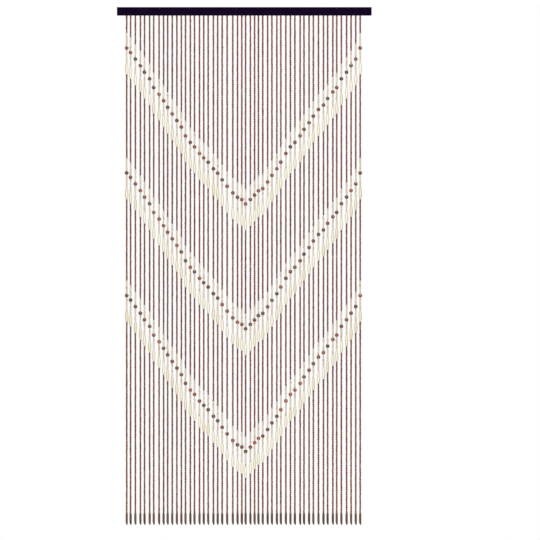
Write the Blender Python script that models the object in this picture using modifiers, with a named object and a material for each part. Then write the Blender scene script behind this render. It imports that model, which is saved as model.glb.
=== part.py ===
"""Beaded string door curtain with its hanging rail.

Fifty-two strands of turned wooden beads hang from a narrow strip that is let
into the underside of a plain flat rail. Small brown beads make up most of each
strand. Three groups of cream beads, each round a brown ball and over a long
spindle, draw three V shapes across the curtain.

Metres, +Z up. The origin is the centre of the rail's flat back face, the front
faces -Y, and the strands hang along -Z.
"""

import math

import bmesh
import bpy
import numpy as np
from mathutils import Matrix

# Rail: a flat bar with a shallow groove along its underside
RAIL_WIDTH = 0.900
RAIL_HEIGHT = 0.029
RAIL_DEPTH = 0.016
RAIL_EDGE = 0.0008
UNDERSIDE = -RAIL_HEIGHT / 2
MID_DEPTH = -RAIL_DEPTH / 2

# Strip that every strand is rooted in, and its clearance in the groove
STRIP_WIDTH = 0.860
STRIP_DEPTH = 0.0080
STRIP_HEIGHT = 0.0077
CLEARANCE = 0.0003
ROOT_DEPTH = 0.0040

# Strands, counted from the left as seen from the front
STRANDS = 52
STRAND_PITCH = 0.01618
STRAND_CENTRE = -0.0046
STRAND_JITTER = 0.0017
LEAST_GAP = 0.0123

# Slow drift of the strands from even spacing, straight between the rows
DRIFT = {
    "strand": (0, 6, 17, 22, 23, 25, 30, 37, 45, 51),
    "shift_mm": (0.5, 1.5, -1.8, 1.2, 4.8, 3.4, -3.0, -1.8, 0.8, 1.6),
}

# Beads
SMALL_RADIUS = 0.0034
SMALL_PITCH = 0.00776
BALL_RADIUS = 0.0069
BALL_LENGTH = 0.0130
SPINDLE_RADIUS = 0.0058
SPINDLE_LENGTH = 0.0405
DROP_RADIUS = 0.0041
DROP_LENGTH = 0.0420

# Small beads on a strand: cream ones above and below each ball, and brown ones in
# all, of which a fixed number hangs between one V and the next
CREAM_RUN = 6
BROWN_TOTAL = 170
SECOND_RUN = 38
THIRD_RUN = 37

# Brown beads above the first V, straight between the rows: the V's own line
V_LINE = {
    "strand": (0, 2, 5, 7, 14, 20, 23, 24, 26, 30, 33, 35, 42, 46, 50, 51),
    "beads_above": (8.0, 13.0, 22.2, 29.0, 50.6, 65.3, 73.9, 75.9,
                    78.6, 71.7, 63.2, 56.3, 36.4, 25.6, 12.6, 8.1),
}

SEED = 52


def clear_scene():
    for obj in list(bpy.data.objects):
        bpy.data.objects.remove(obj, do_unlink=True)


def make_collection(name):
    collection = bpy.data.collections.new(name)
    bpy.context.scene.collection.children.link(collection)
    return collection


def make_material(name, colour, roughness, coat=0.0):
    material = bpy.data.materials.new(name)
    material.use_nodes = True
    shader = material.node_tree.nodes["Principled BSDF"]
    shader.inputs["Base Color"].default_value = (*colour, 1.0)
    shader.inputs["Roughness"].default_value = roughness
    shader.inputs["Metallic"].default_value = 0.0
    shader.inputs["Coat Weight"].default_value = coat
    material.diffuse_color = (*colour, 1.0)
    return material


def make_box(name, size, centre, collection, material=None):
    """A box of the given size, with its own origin at its centre."""
    bm = bmesh.new()
    bmesh.ops.create_cube(bm, size=1.0)
    bmesh.ops.scale(bm, vec=size, verts=bm.verts)
    mesh = bpy.data.meshes.new(name)
    bm.to_mesh(mesh)
    bm.free()
    obj = bpy.data.objects.new(name, mesh)
    obj.location = centre
    collection.objects.link(obj)
    if material:
        mesh.materials.append(material)
    return obj


def turned_mesh(name, profile):
    """A four-sided turned solid: the profile at +X, top to bottom, carried round Z."""
    bm = bmesh.new()
    points = [bm.verts.new((radius, 0.0, height)) for radius, height in profile]
    for upper, lower in zip(points, points[1:]):
        bm.edges.new((upper, lower))
    line = bpy.data.meshes.new(name + "_profile")
    bm.to_mesh(line)
    bm.free()

    obj = bpy.data.objects.new(name, line)
    bpy.context.scene.collection.objects.link(obj)
    screw = obj.modifiers.new("Screw", "SCREW")
    screw.axis = "Z"
    screw.angle = math.tau
    screw.steps = 4
    screw.render_steps = 4
    screw.use_merge_vertices = True
    screw.merge_threshold = 0.0001
    screw.use_smooth_shade = False
    bpy.context.view_layer.update()
    depsgraph = bpy.context.evaluated_depsgraph_get()
    mesh = bpy.data.meshes.new_from_object(obj.evaluated_get(depsgraph))
    bpy.data.objects.remove(obj, do_unlink=True)
    bpy.data.meshes.remove(line)
    return mesh


def strand_layout():
    """Place and brown bead counts of every strand.

    A place is an even pitch with the slow drift and a little unevenness, never
    closer to the strand before than the least gap. The counts above the first V
    follow its line in whole beads, and the rest of the strand makes up the total.
    """
    order = np.arange(STRANDS)
    uneven = np.random.RandomState(SEED).uniform(-1.0, 1.0, STRANDS)
    drift = np.interp(order, DRIFT["strand"], DRIFT["shift_mm"]) / 1000.0
    places = (STRAND_CENTRE + (order - (STRANDS - 1) / 2) * STRAND_PITCH
              + drift + STRAND_JITTER * uneven)
    above = np.interp(order, V_LINE["strand"], V_LINE["beads_above"])
    rows = []
    for index in range(STRANDS):
        place = float(places[index])
        if rows:
            place = max(place, rows[-1]["x"] + LEAST_GAP)
        first = round(float(above[index]))
        rows.append({
            "x": place,
            "runs": (first, SECOND_RUN, THIRD_RUN),
            "below": BROWN_TOTAL - first - SECOND_RUN - THIRD_RUN,
        })
    return rows


def strand_profile(row):
    """Radius and height pairs down one strand, from its root to the drop's point."""
    points = [(0.0, UNDERSIDE + ROOT_DEPTH), (SMALL_RADIUS, UNDERSIDE + ROOT_DEPTH)]
    height = UNDERSIDE
    for count in row["runs"]:
        # brown run and upper cream run, both as thick as the small beads
        height -= (count + CREAM_RUN) * SMALL_PITCH
        centre = height - BALL_LENGTH / 2
        for share, radius in ((0.92, SMALL_RADIUS), (0.42, BALL_RADIUS),
                              (-0.42, BALL_RADIUS), (-0.92, SMALL_RADIUS)):
            points.append((radius, centre + share * BALL_LENGTH / 2))
        # lower cream run, then the long spindle
        height -= BALL_LENGTH + CREAM_RUN * SMALL_PITCH
        for share, radius in ((0.0, SMALL_RADIUS), (0.24, SPINDLE_RADIUS),
                              (0.76, SPINDLE_RADIUS), (1.0, SMALL_RADIUS)):
            points.append((radius, height - share * SPINDLE_LENGTH))
        height -= SPINDLE_LENGTH
    # last brown run and the pointed end drop
    height -= row["below"] * SMALL_PITCH
    for share, radius in ((0.0, SMALL_RADIUS), (0.16, DROP_RADIUS),
                          (0.74, DROP_RADIUS), (1.0, 0.0)):
        points.append((radius, height - share * DROP_LENGTH))
    return points


def add_boolean(obj, other, operation):
    modifier = obj.modifiers.new(operation.title(), "BOOLEAN")
    modifier.operation = operation
    modifier.solver = "EXACT"
    modifier.object = other
    return modifier


def build_rail(parts, cutters, material):
    """The flat bar, with its edges eased and the groove cut into its underside."""
    rail = make_box("rail", (RAIL_WIDTH, RAIL_DEPTH, RAIL_HEIGHT),
                    (0.0, MID_DEPTH, 0.0), parts, material)
    bevel = rail.modifiers.new("Eased edges", "BEVEL")
    bevel.width = RAIL_EDGE
    bevel.segments = 1
    bevel.limit_method = "ANGLE"
    groove_height = STRIP_HEIGHT + CLEARANCE
    groove = make_box(
        "groove_cutter",
        (STRIP_WIDTH + 2 * CLEARANCE, STRIP_DEPTH + 2 * CLEARANCE, 2 * groove_height),
        (STRAND_CENTRE, MID_DEPTH, UNDERSIDE), cutters)
    groove.hide_render = True
    groove.display_type = "WIRE"
    add_boolean(rail, groove, "DIFFERENCE")
    return rail


def build_strands(parts, cutters, material):
    """The strip in the rail's groove with all the strands fused to it by their roots."""
    strip = make_box("bead_strands", (STRIP_WIDTH, STRIP_DEPTH, STRIP_HEIGHT),
                     (STRAND_CENTRE, MID_DEPTH, UNDERSIDE + STRIP_HEIGHT / 2),
                     parts, material)
    joined = bmesh.new()
    for number, row in enumerate(strand_layout()):
        mesh = turned_mesh(f"strand_{number}", strand_profile(row))
        mesh.transform(Matrix.Translation((row["x"], MID_DEPTH, 0.0)))
        joined.from_mesh(mesh)
        bpy.data.meshes.remove(mesh)
    mesh = bpy.data.meshes.new("strand_guide")
    joined.to_mesh(mesh)
    joined.free()
    guide = bpy.data.objects.new("strand_guide", mesh)
    cutters.objects.link(guide)
    guide.hide_render = True
    guide.display_type = "WIRE"
    add_boolean(strip, guide, "UNION")
    return strip


def main():
    clear_scene()
    parts = make_collection("beaded_string_door_curtain")
    cutters = make_collection("cutters_and_guides")
    black_wood = make_material("black painted wood", (0.009, 0.004, 0.014), 0.45)
    bead_wood = make_material("lacquered red-brown wood", (0.23, 0.062, 0.033), 0.35, 0.3)
    build_rail(parts, cutters, black_wood)
    build_strands(parts, cutters, bead_wood)


main()
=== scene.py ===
import bpy
import numpy as np
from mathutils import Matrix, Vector


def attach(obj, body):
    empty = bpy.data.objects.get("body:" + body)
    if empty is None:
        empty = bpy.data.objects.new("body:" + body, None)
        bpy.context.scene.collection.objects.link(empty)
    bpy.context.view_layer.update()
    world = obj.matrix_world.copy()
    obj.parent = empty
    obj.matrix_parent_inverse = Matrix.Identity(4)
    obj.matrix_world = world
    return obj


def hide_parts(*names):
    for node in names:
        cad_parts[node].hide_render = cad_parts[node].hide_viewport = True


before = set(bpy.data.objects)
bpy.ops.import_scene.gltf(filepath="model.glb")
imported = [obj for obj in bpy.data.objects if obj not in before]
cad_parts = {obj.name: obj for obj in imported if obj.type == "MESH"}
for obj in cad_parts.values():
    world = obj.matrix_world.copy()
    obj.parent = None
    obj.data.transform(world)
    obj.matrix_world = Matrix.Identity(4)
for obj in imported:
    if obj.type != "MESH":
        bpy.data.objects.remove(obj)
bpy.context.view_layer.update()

# Beaded string door curtain on a flat rail. Each strand hangs where its solid does, and
# here it becomes its real beads, one by one, on a thread.

curtain = {
    "railHeight": 0.029,
    "midDepth": -0.008,         # strands hang in the middle of the rail's depth
    "strands": 52,
    "pitch": 0.01618,
    "centre": -0.0046,
    "jitter": 0.0017,           # unevenness of the spacing
    "placeSeed": 52,
    "leastGap": 0.0123,         # no two strands hang closer than this
    # slow drift from even spacing, straight between these strands
    "driftStrand": (0, 6, 17, 22, 23, 25, 30, 37, 45, 51),
    "driftMm": (0.5, 1.5, -1.8, 1.2, 4.8, 3.4, -3.0, -1.8, 0.8, 1.6),
    # brown beads above the first V, straight between these strands
    "lineStrand": (0, 2, 5, 7, 14, 20, 23, 24, 26, 30, 33, 35, 42, 46, 50, 51),
    "beadsAbove": (8.0, 13.0, 22.2, 29.0, 50.6, 65.3, 73.9, 75.9,
                   78.6, 71.7, 63.2, 56.3, 36.4, 25.6, 12.6, 8.1),
    "secondRun": 38,            # brown beads from the first V to the second
    "thirdRun": 37,             # and from the second to the third
    "brownTotal": 170,          # on every strand, so that all end level
    "creamRun": 6,
    "smallPitch": 0.00776,
    "ballLength": 0.0130,
    "spindleLength": 0.0405,
    "dropLength": 0.0420,
    "uneven": {"brown": 0.06, "cream": 0.13},   # share by which a bead's length varies
    "lengthSeed": 11,
    "toneSeed": 5,
    "threadInRail": 0.004,      # how far a thread goes up into the strip
    "threadAboveTip": 0.012,    # and how far above the drop's point it ends
}
underside = -curtain["railHeight"] / 2


def strandPlaces():
    # even pitch + slow drift + unevenness, each at least the least gap from the last;
    # the first V's line gives the whole brown beads above it
    order = np.arange(curtain["strands"])
    uneven = np.random.RandomState(curtain["placeSeed"]).uniform(-1, 1, curtain["strands"])
    drift = np.interp(order, curtain["driftStrand"], curtain["driftMm"]) / 1000.0
    wished = (curtain["centre"] + (order - (curtain["strands"] - 1) / 2) * curtain["pitch"]
              + drift + curtain["jitter"] * uneven)
    above = np.interp(order, curtain["lineStrand"], curtain["beadsAbove"])
    across, counts = [], []
    for place, beads in zip(wished, above):
        if across:
            place = max(place, across[-1] + curtain["leastGap"])
        across.append(float(place))
        counts.append(round(float(beads)))
    return np.array(across), counts


# brown, cream, ball, spindle and drop beads, each a list of rows gathered run by run
beadRows = {"brown": [], "cream": [], "ball": [], "spindle": [], "drop": []}
lengthDraw = np.random.RandomState(curtain["lengthSeed"])


def addRun(kind, strand, across, top, count, length, first=0.0):
    # count beads from the height top downwards, their lengths uneven but summing to
    # count x length; columns: strand, x, centre height, length, is first of its run
    share = 1.0 + curtain["uneven"].get(kind, 0.0) * lengthDraw.uniform(-1, 1, count)
    lengths = share / share.sum() * count * length
    centres = top - np.cumsum(lengths) + lengths / 2
    lead = np.zeros(count)
    lead[:1] = first
    rows = np.stack([np.full(count, strand), np.full(count, across), centres, lengths, lead], 1)
    beadRows[kind].append(rows)
    return top - count * length


strandX, firstRuns = strandPlaces()
small, creamRun = curtain["smallPitch"], curtain["creamRun"]
strandEnd = []
for strand, (across, firstRun) in enumerate(zip(strandX, firstRuns)):
    height = underside
    runs = (firstRun, curtain["secondRun"], curtain["thirdRun"])
    for number, brown in enumerate(runs):
        height = addRun("brown", strand, across, height, brown, small, float(number > 0))
        height = addRun("cream", strand, across, height, creamRun, small)
        height = addRun("ball", strand, across, height, 1, curtain["ballLength"])
        height = addRun("cream", strand, across, height, creamRun, small)
        height = addRun("spindle", strand, across, height, 1, curtain["spindleLength"])
    height = addRun("brown", strand, across, height, curtain["brownTotal"] - sum(runs), small, 1.0)
    height = addRun("drop", strand, across, height, 1, curtain["dropLength"])
    strandEnd.append(height)
beadRows = {kind: np.concatenate(rows) for kind, rows in beadRows.items()}
print("beads on the strands:", {kind: len(rows) for kind, rows in beadRows.items()})


# Colours and nodes

def linear(hexColour):
    # sRGB hex to linear: below 0.04045 a straight line, above it a 2.4 power curve
    srgb = [int(hexColour[i:i + 2], 16) / 255 for i in (1, 3, 5)]
    return [v / 12.92 if v <= 0.04045 else ((v + 0.055) / 1.055) ** 2.4 for v in srgb] + [1.0]


def addNode(tree, kind, settings=None, values=None, links=None, stops=None):
    # one node, its settings, its socket values, the sockets that feed it and, where it
    # is a colour ramp, its stops as (position, hex) pairs
    node = tree.nodes.new(kind)
    for name, value in (settings or {}).items():
        setattr(node, name, value)
    for name, value in (values or {}).items():
        node.inputs[name].default_value = value
    for name, socket in (links or {}).items():
        tree.links.new(socket, node.inputs[name])
    if stops:
        elements = node.color_ramp.elements
        while len(elements) > 1:
            elements.remove(elements[-1])
        elements[0].position = stops[0][0]
        elements[0].color = linear(stops[0][1])
        for position, hexColour in stops[1:]:
            elements.new(position).color = linear(hexColour)
    return node


def newMaterial(name):
    material = bpy.data.materials.new(name)
    material.use_nodes = True
    tree = material.node_tree
    tree.nodes.clear()
    return material, tree


# what every wood here shares: where its noises start and end, and how deep its grain is
woodGrain = {
    "stretch": 0.1,             # grain lines are ten times as long as they are wide
    "lineFrom": 0.38, "lineTo": 0.62,
    "hazeFrom": 0.3, "hazeTo": 0.7,
    "depth": 0.0002,
}


def beadWood(name, look):
    # turned wood: a tone for each bead, streaks of grain along it, and painted shade darkening its
    # ends
    material, tree = newMaterial(name)
    grainSize = 1 / look["streakMm"]
    place = addNode(tree, "ShaderNodeAttribute", {"attribute_name": "grainPlace"})
    tone = addNode(tree, "ShaderNodeAttribute", {"attribute_name": "tone"})
    endShade = addNode(tree, "ShaderNodeAttribute", {"attribute_name": "endShade"})
    # grain lines about streakMm wide, from the bead's own millimetres
    along = addNode(tree, "ShaderNodeVectorMath", {"operation": "MULTIPLY"},
                    {1: (grainSize, grainSize, woodGrain["stretch"] / look["streakMm"])},
                    {0: place.outputs["Vector"]})
    streak = addNode(tree, "ShaderNodeTexNoise", None,
                     {"Scale": 1.0, "Detail": 3.0, "Roughness": 0.6},
                     {"Vector": along.outputs[0]})
    blotch = addNode(tree, "ShaderNodeTexNoise", None,
                     {"Scale": 1 / look["blotchMm"], "Detail": 2.0, "Roughness": 0.5},
                     {"Vector": place.outputs["Vector"]})
    # tone, pushed up and down by the blotches
    mixed = addNode(tree, "ShaderNodeMath", {"operation": "MULTIPLY_ADD"},
                    {1: look["blotch"]}, {0: blotch.outputs["Fac"], 2: tone.outputs["Fac"]})
    base = addNode(tree, "ShaderNodeMath", {"operation": "SUBTRACT"},
                   {1: look["blotch"] / 2}, {0: mixed.outputs[0]})
    colour = addNode(tree, "ShaderNodeValToRGB", None, None, {"Fac": base.outputs[0]},
                     look["stops"])
    lines = addNode(tree, "ShaderNodeMapRange", {"clamp": True},
                    {"From Min": woodGrain["lineFrom"], "From Max": woodGrain["lineTo"],
                     "To Min": 0.0, "To Max": look["streak"]},
                    {"Value": streak.outputs["Fac"]})
    streaked = addNode(tree, "ShaderNodeMix", {"data_type": "RGBA"},
                       {7: linear(look["streakHex"])},
                       {0: lines.outputs[0], 6: colour.outputs["Color"]})
    # painted shade: each end darkened towards its shade colour, by the ring's weight times the
    # look's strength
    ends = addNode(tree, "ShaderNodeMath", {"operation": "MULTIPLY"},
                   {1: look["endShade"]}, {0: endShade.outputs["Fac"]})
    shaded = addNode(tree, "ShaderNodeMix", {"data_type": "RGBA"},
                     {7: linear(look["endShadeHex"])},
                     {0: ends.outputs[0], 6: streaked.outputs[2]})
    rough = addNode(tree, "ShaderNodeMapRange", {"clamp": True},
                    {"From Min": woodGrain["hazeFrom"], "From Max": woodGrain["hazeTo"],
                     "To Min": look["rough"][0], "To Max": look["rough"][1]},
                    {"Value": blotch.outputs["Fac"]})
    bump = addNode(tree, "ShaderNodeBump", None,
                   {"Strength": look["bump"], "Distance": woodGrain["depth"]},
                   {"Height": streak.outputs["Fac"]})
    shader = addNode(tree, "ShaderNodeBsdfPrincipled", None,
                     {"Metallic": 0.0, "IOR": look["ior"], "Coat Weight": look["coat"],
                      "Coat Roughness": look["coatRough"],
                      "Specular IOR Level": look["specular"],
                      "Specular Tint": linear(look["tint"])},
                     {"Base Color": shaded.outputs[2], "Roughness": rough.outputs[0],
                      "Normal": bump.outputs[0]})
    addNode(tree, "ShaderNodeOutputMaterial", None, None, {"Surface": shader.outputs[0]})
    return material


# Bead shapes

def newMesh(name, points, corners, sizes):
    # points (n, 3), the corners of every face in turn, and how many each face has
    starts = np.concatenate([[0], np.cumsum(sizes)[:-1]])
    mesh = bpy.data.meshes.new(name)
    mesh.vertices.add(len(points))
    mesh.vertices.foreach_set("co", points.astype(np.float32).ravel())
    mesh.loops.add(corners.size)
    mesh.loops.foreach_set("vertex_index", corners.astype(np.int32).ravel())
    mesh.polygons.add(len(sizes))
    mesh.polygons.foreach_set("loop_start", starts.astype(np.int32))
    mesh.polygons.foreach_set("loop_total", sizes.astype(np.int32))
    mesh.update(calc_edges=True)
    return mesh


def placePiece(name, mesh, material):
    # the finished mesh in the scene, in the place of the strands' solid
    mesh.materials.append(material)
    piece = bpy.data.objects.new(name, mesh)
    bpy.context.scene.collection.objects.link(piece)
    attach(piece, "root")
    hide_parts("bead_strands")


# one lighter or darker tone for each strand
strandTone = np.random.RandomState(curtain["toneSeed"]).uniform(-1, 1, curtain["strands"])

# what each piece's own unevenness is drawn from
pieceSeeds = {
    "brownBeadsA": 100, "brownBeadsB": 101, "brownBeadsC": 102, "brownBeadsD": 103,
    "creamBeads": 110, "ballBeads": 111, "spindleBeads": 112, "endDrops": 113,
}

# beads of one piece share a few variants of grain and tone: how far apart in the grain
# two of them lie, and where a variant's sides and end caps lie in its square of the map
variantShiftMm = (37.0, 23.0, 11.0)
mapSquare = {
    "edge": 0.04, "sidesWide": 0.92, "sidesHigh": 0.80,
    "capRadius": 0.05, "topCap": (0.25, 0.92), "bottomCap": (0.75, 0.92),
}


def beadMesh(name, rows, form, material):
    # every bead at once: at station s, 1 at its top and -1 at its bottom, the radius is
    # thickness x (profile(s) + fatness x fat(s)), round an angle; the height is half its
    # length x s, and slants across the bead by slant x s x s; then the bead is sheared by
    # its tilt, shifted to its place, and its lower end leans to +X by lean x radius x the
    # square of how far s is past leanFrom; columns of rows as addRun gives them
    draw = np.random.RandomState(pieceSeeds[name])
    count = len(rows)
    sides = form["sides"]
    stations = np.array(form["stations"], float)
    profile = np.array(form["profile"], float)
    rings = len(stations)

    # one of the variants for each bead, in the order of its material's tones
    grid = form["variantGrid"]
    variants = grid * grid
    wished = (0.5 + form["toneStrand"] * strandTone[rows[:, 0].astype(int)]
              + form["toneBead"] * draw.uniform(-1, 1, count)
              + form["toneOdd"] * (draw.uniform(0, 1, count) < form["oddShare"]))
    variant = np.clip(np.round(wished * (variants - 1)), 0, variants - 1).astype(int)

    thick = form["radius"] * (1 + form["thickSpread"] * draw.uniform(-1, 1, count))
    fat = form["fatSpread"] * draw.uniform(-1, 1, count) + form["firstFat"] * rows[:, 4]
    slack = np.where(draw.uniform(0, 1, count) < form["slackShare"],
                     form["slackFill"], form["fill"])
    half = rows[:, 3] / 2 * slack
    tilt = form["tilt"] * draw.uniform(-1, 1, (count, 2))
    offset = form["offset"] * draw.uniform(-1, 1, (count, 2))
    spin = 2 * np.pi * draw.uniform(0, 1, count)
    ovality = 1 + form["oval"] * draw.uniform(-1, 1, count)
    slant = form["slant"] * draw.uniform(-1, 1, (count, 2, 2))   # upper and lower end

    angle = 2 * np.pi * np.arange(sides) / sides
    turn = angle[None, None, :] + spin[:, None, None]
    fatRing = np.interp(np.abs(stations), form["fatAt"], form["fat"])
    radius = thick[:, None, None] * (profile[None, :, None]
                                     + fat[:, None, None] * fatRing[None, :, None])
    radius = radius * np.ones(turn.shape)
    wide = radius * np.cos(turn) * ovality[:, None, None]
    deep = radius * np.sin(turn) / ovality[:, None, None]
    ends = slant[:, (stations < 0).astype(int)] * (stations ** 2)[None, :, None]
    along = (half[:, None, None] * stations[None, :, None]
             + ends[..., 0, None] * wide + ends[..., 1, None] * deep)
    points = np.empty((count, rings, sides, 3))
    placeX = (rows[:, 1] + offset[:, 0])[:, None, None]
    placeY = (curtain["midDepth"] + offset[:, 1])[:, None, None]
    past = np.clip((-stations - form["leanFrom"]) / (1 - form["leanFrom"]), 0, 1)
    lean = (form["lean"] * form["radius"] * past ** 2)[None, :, None]
    points[..., 0] = wide + tilt[:, None, None, 0] * along + placeX + lean
    points[..., 1] = deep + tilt[:, None, None, 1] * along + placeY
    points[..., 2] = along + rows[:, 2][:, None, None]

    # attributes: place in the bead's own millimetres, its tone and its nearness to an end, which
    # weights the painted shade there
    ideal = np.empty((rings, sides, 3))
    ideal[..., 0] = form["radius"] * profile[:, None] * np.cos(angle) * 1000
    ideal[..., 1] = form["radius"] * profile[:, None] * np.sin(angle) * 1000
    ideal[..., 2] = form["length"] / 2 * stations[:, None] * 1000
    grain = ideal[None] + variant[:, None, None, None] * np.array(variantShiftMm)
    tone = np.broadcast_to((variant / max(variants - 1, 1))[:, None, None], radius.shape)
    endShade = np.broadcast_to(np.array(form["endShadeRing"], float)[None, :, None], radius.shape)

    # faces: quads between rings, wound so that they face outwards, and an end cap each way
    column = np.arange(sides)
    following = (column + 1) % sides
    ringStart = np.arange(rings)[:, None] * sides
    upper, lower = ringStart[:-1], ringStart[1:]
    quads = np.stack([upper + column, lower + column, lower + following, upper + following], -1)
    perBead = rings * sides
    start = np.arange(count)[:, None] * perBead
    quadCorners = (start[:, :, None, None] + quads.reshape(1, -1, 4)[:, None]).reshape(count, -1)
    topCap = start + column[None]
    bottomCap = start + (perBead - sides) + column[::-1][None]
    corners = np.concatenate([quadCorners, topCap, bottomCap], 1)
    sizes = np.tile(np.concatenate([np.full((rings - 1) * sides, 4), [sides, sides]]), count)
    mesh = newMesh(name, points.reshape(-1, 3), corners, sizes)
    mesh.polygons.foreach_set("use_smooth", np.ones(len(sizes), bool))

    # map: each variant has one square, the bead's sides unrolled in it and its two end
    # caps small above them
    mapWide = np.stack([column, column, column + 1, column + 1], -1) / sides
    level = (stations - stations[-1]) / (stations[0] - stations[-1])
    mapHigh = np.stack([level[:-1], level[1:], level[1:], level[:-1]], -1)
    side = np.empty((rings - 1, sides, 4, 2))
    side[..., 0] = mapSquare["edge"] + mapSquare["sidesWide"] * mapWide[None]
    side[..., 1] = mapSquare["edge"] + mapSquare["sidesHigh"] * mapHigh[:, None]
    cap = mapSquare["capRadius"] * np.stack([np.cos(angle), np.sin(angle)], -1)
    layout = np.concatenate([side.reshape(-1, 2), cap + mapSquare["topCap"],
                             cap[::-1] + mapSquare["bottomCap"]])
    cell = np.stack([variant % grid, variant // grid], -1)
    spread = (layout[None] + cell[:, None]) / grid
    bakeMap = mesh.uv_layers.new(name="OFBake")
    bakeMap.uv.foreach_set("vector", spread.astype(np.float32).ravel())

    mesh.attributes.new("grainPlace", "FLOAT_VECTOR", "POINT").data.foreach_set(
        "vector", grain.astype(np.float32).ravel())
    mesh.attributes.new("tone", "FLOAT", "POINT").data.foreach_set(
        "value", tone.astype(np.float32).ravel())
    mesh.attributes.new("endShade", "FLOAT", "POINT").data.foreach_set(
        "value", endShade.astype(np.float32).ravel())
    placePiece(name, mesh, material)


# Small brown beads: rice-shaped, 6.8 mm thick, necked in where they meet. The fat values
# are what a fatter bead gains at its middle, its shoulders and its ends. A few beads are
# slack, so that the thread shows, and a few have an odd tone.
brownForm = {
    "sides": 8, "radius": 0.00340, "length": curtain["smallPitch"],
    "stations": (1.0, 0.68, 0.0, -0.68, -1.0),
    "profile": (0.53, 0.865, 1.0, 0.865, 0.53),
    # how much painted shade each ring gets: most at the ends, where beads meet
    "endShadeRing": (1.0, 0.22, 0.0, 0.22, 1.0),
    "fatAt": (0.0, 0.68, 1.0), "fat": (0.0, 0.05, 0.10), "fatSpread": 0.8, "firstFat": 1.4,
    "thickSpread": 0.06, "oval": 0.03, "tilt": 0.10, "offset": 0.00030, "slant": 0.10,
    "fill": 1.0, "slackFill": 0.84, "slackShare": 0.008,
    "lean": 0.0, "leanFrom": 0.4,
    "toneStrand": 0.06, "toneBead": 0.25, "toneOdd": 0.32, "oddShare": 0.07,
    "variantGrid": 8,
}
brownLook = {
    "stops": ((0.0, "#4e2418"), (0.35, "#69301d"), (0.65, "#813f25"), (0.85, "#97502e"),
              (1.0, "#735240")),
    "streak": 0.42, "streakHex": "#561e13", "streakMm": 0.55,
    "blotch": 0.5, "blotchMm": 3.0, "endShade": 0.35, "endShadeHex": "#3f170d",
    "rough": (0.28, 0.42), "bump": 0.25, "ior": 1.5, "coat": 0.0, "coatRough": 0.22,
    "specular": 0.62, "tint": "#ffd6c0",
}
# dyed and lacquered hardwood: red-brown, a soft highlight down each bead, painted shade in the
# necks
brownWood = beadWood("lacquered red-brown wood", brownLook)

# Small cream beads: bare barrels, each a little different, 6.6 mm thick
creamForm = dict(brownForm, **{
    "sides": 10, "radius": 0.00330,
    "profile": (0.72, 0.94, 1.0, 0.94, 0.72),
    "endShadeRing": (1.0, 0.12, 0.0, 0.12, 1.0),
    "fat": (0.0, 0.05, 0.12), "firstFat": 0.0,
    "thickSpread": 0.09, "oval": 0.05, "tilt": 0.11, "offset": 0.00042, "slant": 0.20,
    "toneBead": 0.30, "toneOdd": 0.45,
})
creamLook = {
    "stops": ((0.0, "#dcd8ce"), (0.45, "#d3cabb"), (0.8, "#cab89f"), (1.0, "#be9d7b")),
    "streak": 0.35, "streakHex": "#c5b196", "streakMm": 0.45,
    "blotch": 0.4, "blotchMm": 3.5, "endShade": 0.55, "endShadeHex": "#8f7350",
    "rough": (0.42, 0.58), "bump": 0.2, "ior": 1.5, "coat": 0.0, "coatRough": 0.2,
    "specular": 0.4, "tint": "#ffffff",
}
# bare pale softwood: cream with tan streaks, nearly matt, a few beads tan all over, and painted
# shade at both ends
creamWood = beadWood("bare pale wood", creamLook)

# The larger beads are turned more evenly: none is fatter, slanted or slack, and every
# tone is as common as the next
turnedForm = dict(brownForm, **{
    "fatSpread": 0.0, "firstFat": 0.0, "thickSpread": 0.02, "oval": 0.01,
    "slant": 0.0, "slackShare": 0.0,
    "toneStrand": 0.0, "toneBead": 0.5, "toneOdd": 0.0, "variantGrid": 4,
})

# Balls: 13.8 mm thick and 13 mm long, a little flat where the thread goes in
ballForm = dict(turnedForm, **{
    "sides": 22, "radius": 0.00690, "length": curtain["ballLength"],
    "stations": (1.0, 0.88, 0.64, 0.24, -0.24, -0.64, -0.88, -1.0),
    "profile": (0.28, 0.56, 0.81, 0.985, 0.985, 0.81, 0.56, 0.28),
    "endShadeRing": (1.0, 0.35, 0.05, 0, 0, 0.05, 0.35, 1.0),
    "tilt": 0.03, "offset": 0.00015,
})
ballLook = dict(brownLook, **{
    "stops": ((0.0, "#4c271b"), (0.3, "#662b1a"), (0.7, "#87381c"), (1.0, "#a65226")),
    "streak": 0.55, "streakHex": "#3a150b", "streakMm": 0.9,
    "blotch": 0.9, "blotchMm": 4.5, "endShade": 0.7,
    "rough": (0.26, 0.36), "bump": 0.12, "coat": 1.0, "coatRough": 0.20,
    "specular": 0.9, "tint": "#ffdccb",
})
# polished dyed hardwood: deep red-brown with lit streaks and a clear highlight, and painted shade
# darkening its top and bottom
ballWood = beadWood("polished red-brown wood", ballLook)

# Spindles: 40.5 mm long and 11.6 mm thick, blunt rounded ends and one long swell
spindleForm = dict(turnedForm, **{
    "sides": 16, "radius": 0.00580, "length": curtain["spindleLength"], "fill": 0.995,
    "stations": (1.0, 0.965, 0.82, 0.54, 0.20, -0.20, -0.54, -0.82, -0.965, -1.0),
    "profile": (0.47, 0.61, 0.745, 0.90, 0.99, 0.99, 0.90, 0.745, 0.61, 0.47),
    "endShadeRing": (1.0, 0.35, 0.1, 0, 0, 0, 0, 0.1, 0.35, 1.0),
    "tilt": 0.008, "offset": 0.00015,
})
spindleLook = {
    "stops": ((0.0, "#e1dccb"), (0.5, "#dbd5be"), (1.0, "#d3c9ad")),
    "streak": 0.25, "streakHex": "#cdc0a0", "streakMm": 0.7,
    "blotch": 0.5, "blotchMm": 9.0, "endShade": 0.35, "endShadeHex": "#a58d5f",
    "rough": (0.40, 0.52), "bump": 0.08, "ior": 1.5, "coat": 0.0, "coatRough": 0.15,
    "specular": 0.35, "tint": "#ffffff",
}
# waxed pale wood: warm ivory, satin, with faint lengthwise grain and painted shade at its ends
spindleWood = beadWood("waxed ivory wood", spindleLook)

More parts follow.
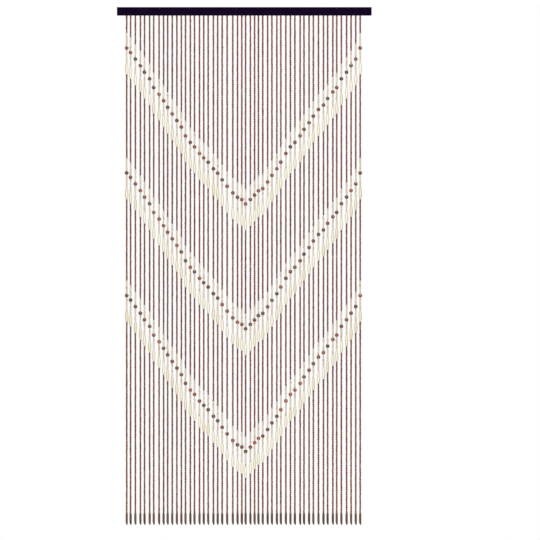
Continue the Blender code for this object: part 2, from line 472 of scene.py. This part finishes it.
# End drops: 42 mm long, an even shank, its point bevelled from the left so that the tip
# stands to the right
dropForm = dict(turnedForm, **{
    "sides": 12, "radius": 0.00410, "length": curtain["dropLength"],
    "stations": (1.0, 0.95, 0.80, 0.45, 0.0, -0.35, -0.55, -0.72, -0.87, -0.96, -1.0),
    "profile": (0.72, 0.90, 0.99, 1.0, 1.0, 1.0, 0.95, 0.84, 0.62, 0.40, 0.16),
    "endShadeRing": (1.0, 0.3, 0, 0, 0, 0.1, 0.3, 0.5, 0.7, 0.9, 1.0),
    "lean": 0.42, "tilt": 0.004, "offset": 0.00008,
})
dropLook = dict(brownLook, **{
    "stops": ((0.0, "#43291f"), (0.5, "#55382c"), (1.0, "#694837")),
    "streak": 0.5, "streakHex": "#35201a", "streakMm": 0.6,
    "blotch": 0.5, "blotchMm": 7.0, "endShade": 0.45, "endShadeHex": "#2b1c16",
    "rough": (0.34, 0.48), "bump": 0.2, "coat": 0.1, "coatRough": 0.2,
})
# walnut-stained wood: duller and darker than the beads over it, with painted shade at its top
# where the bead above meets it, and darkest at the point
dropWood = beadWood("walnut-stained wood", dropLook)

# the brown beads are shared out by strand, so that no piece is too large
brownPieces = ("brownBeadsA", "brownBeadsB", "brownBeadsC", "brownBeadsD")
strandsEach = curtain["strands"] // len(brownPieces)
for number, name in enumerate(brownPieces):
    mine = beadRows["brown"][:, 0] // strandsEach == number
    beadMesh(name, beadRows["brown"][mine], brownForm, brownWood)
beadMesh("creamBeads", beadRows["cream"], creamForm, creamWood)
beadMesh("ballBeads", beadRows["ball"], ballForm, ballWood)
beadMesh("spindleBeads", beadRows["spindle"], spindleForm, spindleWood)
beadMesh("endDrops", beadRows["drop"], dropForm, dropWood)
print("beads made")


# Threads and the strip they hang from

def sweep(name, section, starts, ends, material):
    # straight bars: the closed section (n, 2) carried from each start to its end, with
    # a cap at both; the section lies across the way the bar runs
    starts, ends = np.array(starts, float), np.array(ends, float)
    way = (ends - starts)[0] / np.linalg.norm((ends - starts)[0])
    upright = abs(way[2]) > 0.5
    across = np.array([1.0, 0, 0]) if upright else np.array([0, 1.0, 0])
    other = np.cross(way, across)
    ring = section[:, 0, None] * across + section[:, 1, None] * other
    sides = len(section)
    points = np.stack([starts[:, None] + ring, ends[:, None] + ring], 1).reshape(-1, 3)
    column = np.arange(sides)
    following = (column + 1) % sides
    start = np.arange(len(starts))[:, None] * 2 * sides
    sideFaces = np.stack([column, following, sides + following, sides + column], -1).reshape(-1)
    corners = np.concatenate([start + sideFaces, start + column[::-1],
                              start + sides + column], 1)
    sizes = np.tile(np.concatenate([np.full(sides, 4), [sides, sides]]), len(starts))
    placePiece(name, newMesh(name, points, corners, sizes), material)


def paintedWood(look):
    # near-black paint on a planed bar: a faint grain along X under it, and a sheen that
    # is a little uneven
    material, tree = newMaterial("black painted wood")
    place = addNode(tree, "ShaderNodeTexCoord")
    fine = 1000 / look["grainMm"]
    along = addNode(tree, "ShaderNodeMapping", None,
                    {"Scale": (1000 / look["grainLongMm"], fine, fine)},
                    {"Vector": place.outputs["Object"]})
    grain = addNode(tree, "ShaderNodeTexNoise", None,
                    {"Scale": 1.0, "Detail": 4.0, "Roughness": 0.6},
                    {"Vector": along.outputs[0]})
    haze = addNode(tree, "ShaderNodeTexNoise", None,
                   {"Scale": 1000 / look["hazeMm"], "Detail": 2.0},
                   {"Vector": place.outputs["Object"]})
    colour = addNode(tree, "ShaderNodeValToRGB", None, None, {"Fac": grain.outputs["Fac"]},
                     look["stops"])
    rough = addNode(tree, "ShaderNodeMapRange", {"clamp": True},
                    {"From Min": woodGrain["hazeFrom"], "From Max": woodGrain["hazeTo"],
                     "To Min": look["rough"][0], "To Max": look["rough"][1]},
                    {"Value": haze.outputs["Fac"]})
    bump = addNode(tree, "ShaderNodeBump", None,
                   {"Strength": look["bump"], "Distance": woodGrain["depth"]},
                   {"Height": grain.outputs["Fac"]})
    shader = addNode(tree, "ShaderNodeBsdfPrincipled", None,
                     {"Metallic": 0.0, "IOR": look["ior"],
                      "Specular IOR Level": look["specular"],
                      "Specular Tint": linear(look["tint"])},
                     {"Base Color": colour.outputs["Color"], "Roughness": rough.outputs[0],
                      "Normal": bump.outputs[0]})
    addNode(tree, "ShaderNodeOutputMaterial", None, None, {"Surface": shader.outputs[0]})
    return material


railLook = {
    "stops": ((0.35, "#08010f"), (0.6, "#10031d"), (0.75, "#160626")),
    "grainMm": 1.6, "grainLongMm": 60.0, "hazeMm": 45.0,
    "rough": (0.42, 0.58), "bump": 0.15, "ior": 1.5, "specular": 0.02, "tint": "#b690e6",
}
# satin black paint with a violet cast on planed wood: almost no highlight, faint grain
blackPaint = paintedWood(railLook)
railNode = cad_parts["rail"]
railNode.data.materials.clear()
railNode.data.materials.append(blackPaint)

# Strip in the rail's groove, its four long edges eased
strip = {"width": 0.860, "depth": 0.0080, "height": 0.0077, "edge": 0.0004}
halfDeep, halfHigh, edge = strip["depth"] / 2, strip["height"] / 2, strip["edge"]
stripSection = np.array([(halfDeep, halfHigh - edge), (halfDeep - edge, halfHigh),
                         (edge - halfDeep, halfHigh), (-halfDeep, halfHigh - edge),
                         (-halfDeep, edge - halfHigh), (edge - halfDeep, -halfHigh),
                         (halfDeep - edge, -halfHigh), (halfDeep, edge - halfHigh)])
stripMid = underside + halfHigh
sweep("threadStrip", stripSection,
      [(curtain["centre"] - strip["width"] / 2, curtain["midDepth"], stripMid)],
      [(curtain["centre"] + strip["width"] / 2, curtain["midDepth"], stripMid)],
      blackPaint)


def threadMaterial(look):
    # twisted white polyester, matt: the shade in the grooves of its twist is painted as slanting
    # darker bands; the wave's phase is
    # 10 x scale x (x + y + z), so a scale of 200 pi / twistMm gives one band each twistMm up the
    # thread
    material, tree = newMaterial("twisted white polyester")
    place = addNode(tree, "ShaderNodeTexCoord")
    bands = addNode(tree, "ShaderNodeTexWave", {"bands_direction": "DIAGONAL"},
                    {"Scale": 200 * np.pi / look["twistMm"], "Distortion": 0.5},
                    {"Vector": place.outputs["Object"]})
    # painted shade: the twist's grooves darker than the white thread
    colour = addNode(tree, "ShaderNodeMix", {"data_type": "RGBA"},
                     {6: linear(look["twistShadeHex"]), 7: linear(look["hex"])},
                     {0: bands.outputs["Fac"]})
    shader = addNode(tree, "ShaderNodeBsdfPrincipled", None,
                     {"Roughness": look["rough"], "IOR": look["ior"]},
                     {"Base Color": colour.outputs[2]})
    addNode(tree, "ShaderNodeOutputMaterial", None, None, {"Surface": shader.outputs[0]})
    return material


# Threads: 0.9 mm thick, seen only where two beads stand apart
thread = {"radius": 0.00045, "sides": 6}
threadLook = {"hex": "#f2efe6", "twistShadeHex": "#cfc9ba", "twistMm": 1.4,
              "rough": 0.75, "ior": 1.5}
around = 2 * np.pi * np.arange(thread["sides"]) / thread["sides"]
threadSection = thread["radius"] * np.stack([np.cos(around), np.sin(around)], -1)
depth = np.full(curtain["strands"], curtain["midDepth"])
topHeight = np.full(curtain["strands"], underside + curtain["threadInRail"])
endHeight = np.array(strandEnd) + curtain["threadAboveTip"]
sweep("strandThreads", threadSection, np.stack([strandX, depth, topHeight], -1),
      np.stack([strandX, depth, endHeight], -1), threadMaterial(threadLook))
print("rail, strip and threads finished")


# Studio: pale floor, white surround, soft light from the front, above and behind, long lens

studio = {
    "floorHeight": -1.962, "floorHalf": 1.2, "floorFront": -1.1, "floorBack": 0.85,
    "floorHex": "#f4f4f2", "floorRough": 0.9,
    "surroundSeen": 1.0, "surroundLight": 0.10,
    "cameraAcross": 0.0909, "cameraHeight": -0.9143, "frameWidth": 1.909,
    "lens": 200.0, "sensor": 36.0, "clipEnd": 100.0,
    # each softbox: its place, the side of its square and its power in watts
    "lights": {
        "frontSoftbox": ((-0.5, -5.0, -0.2), 1.6, 250),
        "topSoftbox": ((1.2, -2.2, 1.6), 1.4, 40),
        "backSoftbox": ((0.4, 4.2, 1.7), 1.8, 170),
    },
}
half, level = studio["floorHalf"], studio["floorHeight"]
front, back = studio["floorFront"], studio["floorBack"]
floorMesh = bpy.data.meshes.new("studioFloor")
floorMesh.from_pydata([(-half, front, level), (half, front, level),
                       (half, back, level), (-half, back, level)], [], [(0, 1, 2, 3)])
floorMaterial, floorTree = newMaterial("pale studio floor")
floorShader = addNode(floorTree, "ShaderNodeBsdfPrincipled", None,
                      {"Base Color": linear(studio["floorHex"]),
                       "Roughness": studio["floorRough"]})
addNode(floorTree, "ShaderNodeOutputMaterial", None, None, {"Surface": floorShader.outputs[0]})
floorMesh.materials.append(floorMaterial)
floor = bpy.data.objects.new("studioFloor", floorMesh)
bpy.context.scene.collection.objects.link(floor)

# white where the camera sees it, and only a soft fill on the curtain
world = bpy.data.worlds.new("white studio")
world.use_nodes = True
worldTree = world.node_tree
worldTree.nodes.clear()
path = addNode(worldTree, "ShaderNodeLightPath")
strength = addNode(worldTree, "ShaderNodeMapRange", None,
                   {"To Min": studio["surroundLight"], "To Max": studio["surroundSeen"]},
                   {"Value": path.outputs["Is Camera Ray"]})
surround = addNode(worldTree, "ShaderNodeBackground", None, {"Color": (1, 1, 1, 1)},
                   {"Strength": strength.outputs[0]})
addNode(worldTree, "ShaderNodeOutputWorld", None, None, {"Surface": surround.outputs[0]})
bpy.context.scene.world = world


def softLight(name, place, aim, size, power):
    # a square softbox that faces the aim
    data = bpy.data.lights.new(name, "AREA")
    data.shape = "SQUARE"
    data.size = size
    data.energy = power
    lamp = bpy.data.objects.new(name, data)
    lamp.location = place
    lamp.rotation_euler = (Vector(aim) - Vector(place)).to_track_quat("-Z", "Y").to_euler()
    bpy.context.scene.collection.objects.link(lamp)


middle = (0.0, curtain["midDepth"], studio["cameraHeight"])
for name, (place, size, power) in studio["lights"].items():
    softLight(name, place, middle, size, power)

# the picture is frameWidth wide at the strands, so the camera stands that x lens / sensor away
camera = bpy.data.cameras.new("camera")
camera.sensor_width = studio["sensor"]
camera.lens = studio["lens"]
camera.clip_end = studio["clipEnd"]
distance = studio["frameWidth"] * studio["lens"] / studio["sensor"]
cameraObject = bpy.data.objects.new("camera", camera)
cameraObject.location = (studio["cameraAcross"], curtain["midDepth"] - distance,
                         studio["cameraHeight"])
cameraObject.rotation_euler = (np.pi / 2, 0.0, 0.0)
bpy.context.scene.collection.objects.link(cameraObject)
bpy.context.scene.camera = cameraObject
bpy.context.scene.view_settings.view_transform = "Standard"
print("studio ready")
